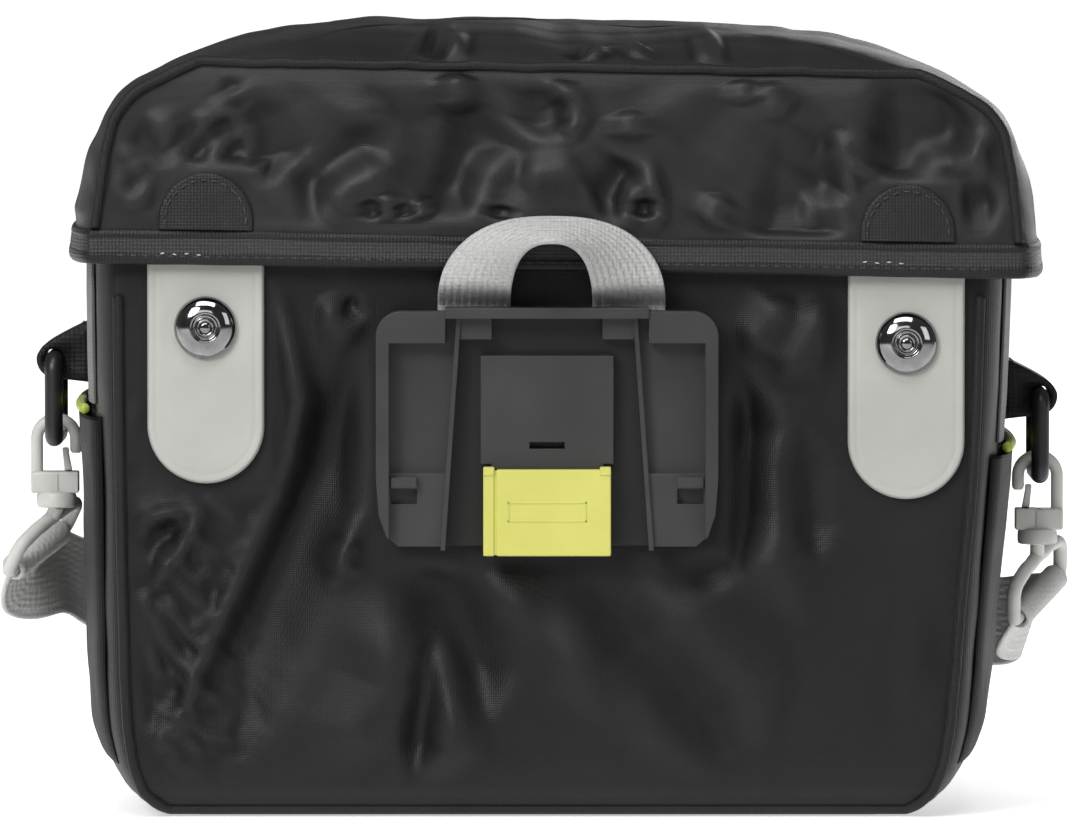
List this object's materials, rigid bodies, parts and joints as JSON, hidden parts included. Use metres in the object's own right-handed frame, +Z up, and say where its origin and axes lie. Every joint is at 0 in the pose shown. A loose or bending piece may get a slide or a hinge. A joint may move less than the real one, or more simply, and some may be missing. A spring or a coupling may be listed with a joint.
{
  "type": "bicycle handlebar bag",
  "caption": "Box-shaped handlebar bag with a soft lid closed by two press-stud straps, a quick-release adapter plate, a grab handle and a shoulder strap on snap hooks.",
  "frame": {"origin": "on the surface that the bag stands on, under the middle of its base", "axes": "+Z up, -Y out of the rear face with the adapter plate, +X to the right as seen when looking at that face"},
  "size_m": [0.2972, 0.4908, 0.2142],
  "materials": {
    "body_cloth": "black coated nylon, soft sheen",
    "lid_cloth": "black nylon, wrinkled, soft sheen",
    "black_tape": "black ribbed tape, matt",
    "grey_tape": "dark grey tape, matt",
    "pale_synthetic": "pale grey synthetic leather, fine grain",
    "chrome": "polished",
    "dark_plastic": "dark grey moulded plastic, fine texture",
    "yellow_plastic": "pale yellow moulded plastic",
    "pale_webbing": "light grey ribbed webbing",
    "lime_piping": "lime yellow corded piping",
    "black_plastic": "black moulded plastic, half gloss",
    "pale_plastic": "light grey moulded plastic, half gloss",
    "strap_webbing": "mid grey webbing"
  },
  "bodies": {
    "bag": {"body_shell": "body_cloth", "side_pocket_left": "body_cloth", "side_pocket_right": "body_cloth", "lid_shell": "lid_cloth", "lid_hem_binding": "black_tape", "lid_rear_piping": "black_tape", "body_rear_piping": "black_tape", "strap_patch_left": "black_tape", "strap_patch_right": "black_tape", "ring_tab_left": "black_tape", "ring_tab_right": "black_tape", "side_strip_left": "grey_tape", "side_strip_right": "grey_tape", "closing_strap_left": "pale_synthetic", "closing_strap_right": "pale_synthetic", "press_stud_left": "chrome", "press_stud_right": "chrome", "adapter_plate": "dark_plastic", "grab_handle": "pale_webbing", "pocket_piping_left": "lime_piping", "pocket_piping_right": "lime_piping", "strap_ring_left": "black_plastic", "strap_ring_right": "black_plastic", "snap_hook_left": "pale_plastic", "snap_hook_right": "pale_plastic", "swivel_eye_left": "pale_plastic", "swivel_eye_right": "pale_plastic", "shoulder_strap": "strap_webbing"},
    "button": {"release_button": "yellow_plastic"},
    "gate_left": {"hook_gate_left": "pale_plastic"},
    "gate_right": {"hook_gate_right": "pale_plastic"}
  },
  "joints": [
    {"name": "button_slide", "type": "slide", "parent": "bag", "child": "button", "axis": [0, 0, 1], "range_m": [0, 0.004], "stiffness_N_per_m": 600, "springref_m": -0.002},
    {"name": "gate_left_hinge", "type": "hinge", "parent": "bag", "child": "gate_left", "pos_m": [-0.13217, 0, 0.08757], "axis": [0, -1, 0], "range_deg": [0, 26], "stiffness_Nm_per_rad": 0.01, "springref_deg": -20.05},
    {"name": "gate_right_hinge", "type": "hinge", "parent": "bag", "child": "gate_right", "pos_m": [0.13211, 0, 0.07737], "axis": [0, 1, 0], "range_deg": [0, 26], "stiffness_Nm_per_rad": 0.01, "springref_deg": -20.05}
  ]
}
